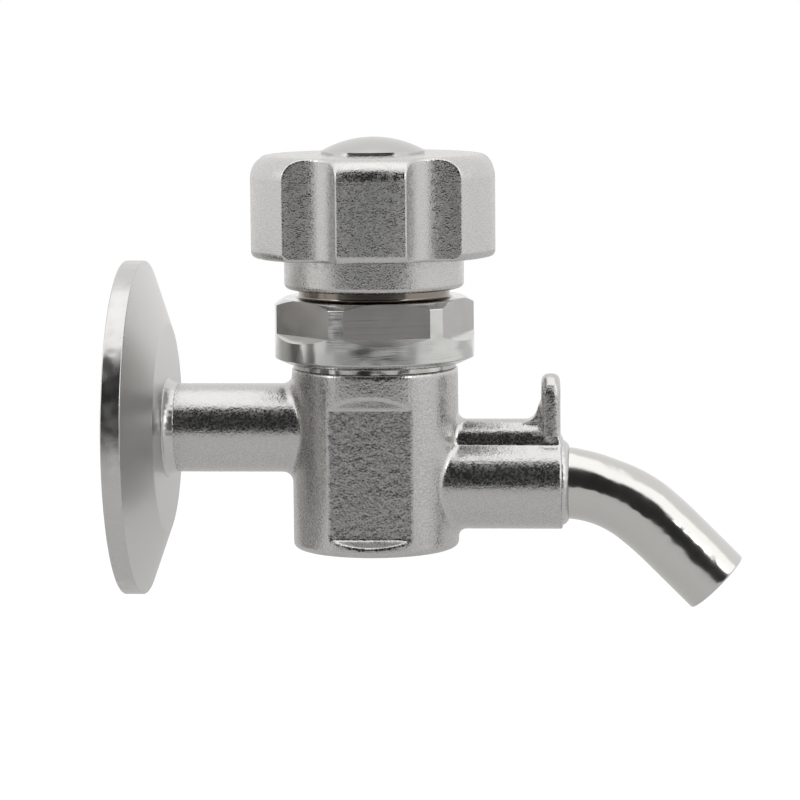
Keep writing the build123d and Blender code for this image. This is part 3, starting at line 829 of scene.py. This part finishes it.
# %% [markdown]
# ## Knob cap
# A low pressed dome covers the knob's screw. Its top is satin and its thin rim is polished. The solid has
# the right shape already, so the piece is a copy of it with two finishes, which one solid's slot couldn't
# hold.

# %% Copy the cap and polish its rim
CAP_RIM_RADIUS = 7.6
cap = merged_copy("knob_cap", "domed_cap")
settle(cap, "knob_cap", ["satin_steel", "polished_steel"])
crisp(cap, 25)
for polygon in cap.data.polygons:
    if (polygon.center - STEM).xy.length > CAP_RIM_RADIUS * MM:
        polygon.material_index = 1
even_shading(cap)
print("cap rim faces:", sum(p.material_index for p in cap.data.polygons))

# %% [markdown]
# ## Weld beads
# A bead of weld closes the joint between the pipe and the ferrule, and another between the spout and the
# barrel. A hand-fed rod leaves ripples in it. A bump could draw them, but they show in the bead's
# outline, so the spun bead is cut finer and its surface is lifted in waves round its axis.


# %% Spin a bead and ripple it
RIPPLE_DRIFT = 1.5
DRIFTS_ROUND = 3


def weld_bead(name, node, outline, centre, ripple, count):
    """A bead about an axis along x, whose surface is lifted by up to ripple mm, count times round."""
    bead = turned(name, outline, "X", centre, steps=180)
    bm = bmesh.new()
    bm.from_mesh(bead.data)
    long_edges = [e for e in bm.edges if e.calc_length() > 0.6 * MM]
    bmesh.ops.subdivide_edges(bm, edges=long_edges, cuts=3, use_grid_fill=True)
    inner_radius = outline[0][1] + 0.15
    for vert in bm.verts:
        arm = vert.co - centre
        arm.x = 0
        turn = atan2(arm.y, arm.z)
        wave = 0.5 + 0.5 * sin(count * turn + RIPPLE_DRIFT * sin(DRIFTS_ROUND * turn))
        if arm.length > inner_radius * MM:
            vert.co += arm.normalized() * (ripple * MM * wave)
    bm.to_mesh(bead.data)
    bm.free()
    settle(bead, node, ["weld_steel"])


OUTLET = Vector((0, 0, -8.3)) * MM
INLET_BEAD = [(6.2, 6.4), (6.2, 7.7), (6.45, 7.35), (6.8, 7.05), (7.3, 6.85), (7.95, 6.66), (7.95, 6.4)]
SPOUT_BEAD = [(65.5, 5.3), (65.5, 6.3), (66.0, 6.38), (66.45, 6.15), (66.8, 5.75), (66.98, 5.3)]
weld_bead("inlet_bead", "inlet_weld", INLET_BEAD, ORIGIN, 0.04, 46)
weld_bead("spout_bead", "spout_weld", SPOUT_BEAD, OUTLET, 0.05, 36)

# %% [markdown]
# ## Spout
# A thin tube bent in three arcs. A swept curve would stay perfectly round, while a tube bent by hand goes
# slightly oval in its bend. So the end ring is spun round each bend's centre in turn and extruded along
# the straight nose, and then the bend is squeezed a little.


# %% Push straight on, or turn down
def edges_in(geometry):
    """The edges among what a bmesh operator gave."""
    return [g for g in geometry if isinstance(g, bmesh.types.BMEdge)]


def push(bm, ends, tip, heading, length, steps):
    """Extrudes a tube's open end straight on by length mm, and gives the new end and tip."""
    step = Vector((cos(heading), 0, -sin(heading))) * (length * MM / steps)
    for _ in range(steps):
        grown = bmesh.ops.extrude_edge_only(bm, edges=ends)["geom"]
        grown_verts = [g for g in grown if isinstance(g, bmesh.types.BMVert)]
        bmesh.ops.translate(bm, verts=grown_verts, vec=step)
        ends = [e for e in edges_in(grown) if all(v in grown_verts for v in e.verts)]
        tip = tip + step
    return ends, tip


def turn_down(bm, ends, tip, heading, radius, angle, steps):
    """Spins a tube's open end about a centre below it, and gives the new end, tip and heading."""
    centre = tip + Vector((-sin(heading), 0, -cos(heading))) * radius * MM
    spun = bmesh.ops.spin(bm, geom=ends, axis=(0, 1, 0), cent=centre, angle=angle, steps=steps)
    tip = centre + Matrix.Rotation(angle, 3, "Y") @ (tip - centre)
    return edges_in(spun["geom_last"]), tip, heading + angle


print("tube bender ready")

# %% Bend the tube
TUBE_RADIUS = 5.35
TUBE_START = 57.0
BENDS = ((24, 10), (19, 28), (50, 7))
START_LENGTH = 8.0
NOSE_LENGTH = 9.87
bm = bmesh.new()
tip = OUTLET + Vector((TUBE_START, 0, 0)) * MM
heading = 0.0
upright = Matrix.Translation(tip) @ Matrix.Rotation(pi / 2, 4, "Y")
bmesh.ops.create_circle(bm, segments=96, radius=TUBE_RADIUS * MM, matrix=upright)
ends, tip = push(bm, bm.edges[:], tip, heading, START_LENGTH, 8)
for bend_radius, bend in BENDS:
    ends, tip, heading = turn_down(bm, ends, tip, heading, bend_radius, radians(bend), bend + 4)
ends, tip = push(bm, ends, tip, heading, NOSE_LENGTH, 14)
bmesh.ops.remove_doubles(bm, verts=bm.verts, dist=0.001 * MM)
print("spout tip at", [round(c / MM, 2) for c in tip])

# %% Squeeze the bend, then give the tube its wall and lip
SQUEEZE = 0.40
BEND_MIDDLE = 74.5
BEND_REACH = 6.5
BEND_START = 65.5
BEND_FALL = 34
TUBE_SHOULDER = 5
WALL = 1.0
LIP_ROUND = 0.25
for vert in bm.verts:
    spot = vert.co / MM
    nearness = max(0.0, 1 - abs(spot.x - BEND_MIDDLE) / BEND_REACH) ** 0.7
    tube_middle = OUTLET.z / MM - max(0.0, spot.x - BEND_START) ** 2 / BEND_FALL
    if spot.z > tube_middle:
        vert.co.z -= SQUEEZE * MM * nearness * min(1.0, (spot.z - tube_middle) / TUBE_SHOULDER)
bmesh.ops.recalc_face_normals(bm, faces=bm.faces)
spout = show(bm, "bent_spout")
add_modifier(spout, "SOLIDIFY", thickness=WALL * MM, offset=-1)
sharp_only = {"limit_method": "ANGLE", "angle_limit": radians(50)}
add_modifier(spout, "BEVEL", width=LIP_ROUND * MM, segments=3, **sharp_only)
bake(spout)
settle(spout, "spout_tube", ["buffed_steel"])
